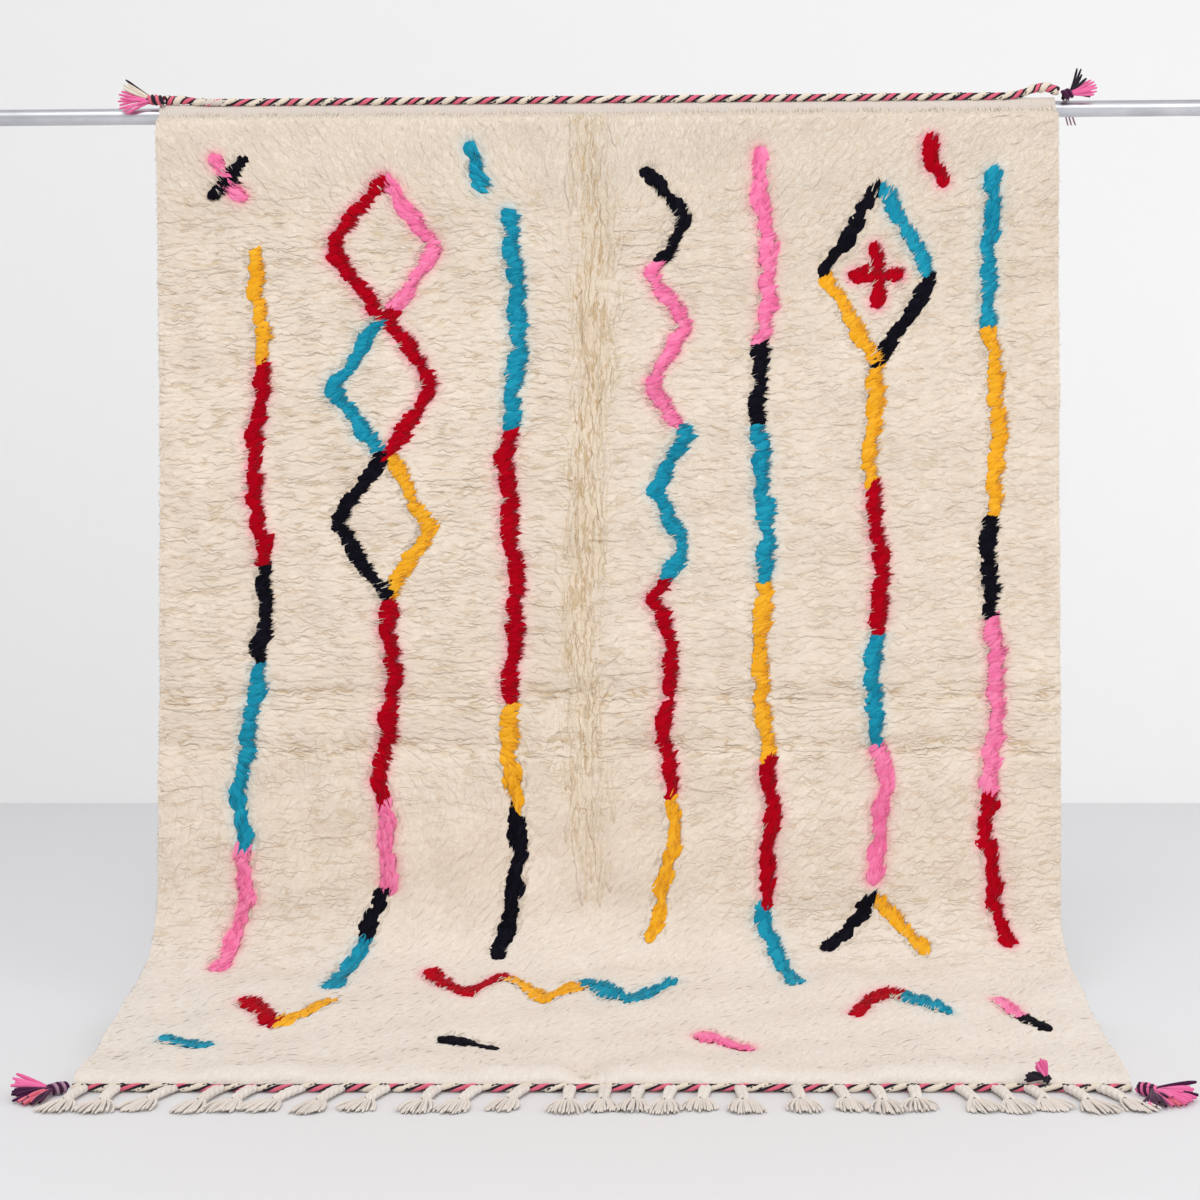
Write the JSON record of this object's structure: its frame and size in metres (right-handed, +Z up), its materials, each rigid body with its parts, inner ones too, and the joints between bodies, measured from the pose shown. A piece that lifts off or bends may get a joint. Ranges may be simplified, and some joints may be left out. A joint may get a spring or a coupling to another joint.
{
  "type": "shag rug hung over a round rod",
  "caption": "Knotted cream shag rug with dyed free-form lines, cord-bound ends and knotted fringe, hung over a round rod and curving forward onto the floor.",
  "frame": {"origin": "on the floor, in the middle of the object's box", "axes": "+X along the rod to the right as seen facing the pile, -Y the way the pile faces, +Z up"},
  "size_m": [2.12, 0.6719, 1.5651],
  "materials": {
    "wool": "matted undyed wool pile",
    "weave": "undyed wool warp yarn",
    "braid": "twisted pink, black and cream wool yarn",
    "dyed_wool": "dyed wool yarn and pile",
    "rod_metal": "satin tube"
  },
  "bodies": {
    "root": {"rod": "rod_metal", "rug": "wool", "head_braid": "braid", "front_braid": "braid", "side_locks_left_hang": "wool", "side_locks_left_knee": "wool", "side_locks_left_floor": "wool", "side_locks_right_hang": "wool", "side_locks_right_knee": "wool", "side_locks_right_floor": "wool", "front_locks": "wool", "fringe_01": "weave", "fringe_02": "weave", "fringe_03": "weave", "fringe_04": "weave", "fringe_05": "weave", "fringe_06": "weave", "fringe_07": "weave", "fringe_08": "weave", "fringe_09": "weave", "fringe_10": "weave", "fringe_11": "weave", "fringe_12": "weave", "fringe_13": "weave", "fringe_14": "weave", "fringe_15": "weave", "fringe_16": "weave", "fringe_17": "weave", "fringe_18": "weave", "fringe_19": "weave", "fringe_20": "weave", "fringe_21": "weave", "fringe_22": "weave", "fringe_23": "weave", "fringe_24": "weave", "fringe_25": "weave", "fringe_26": "weave", "tassel_head_left": "dyed_wool", "tassel_head_right": "dyed_wool", "tassel_front_left": "dyed_wool", "tassel_front_right": "dyed_wool", "tuft_front": "dyed_wool"}
  },
  "joints": []
}
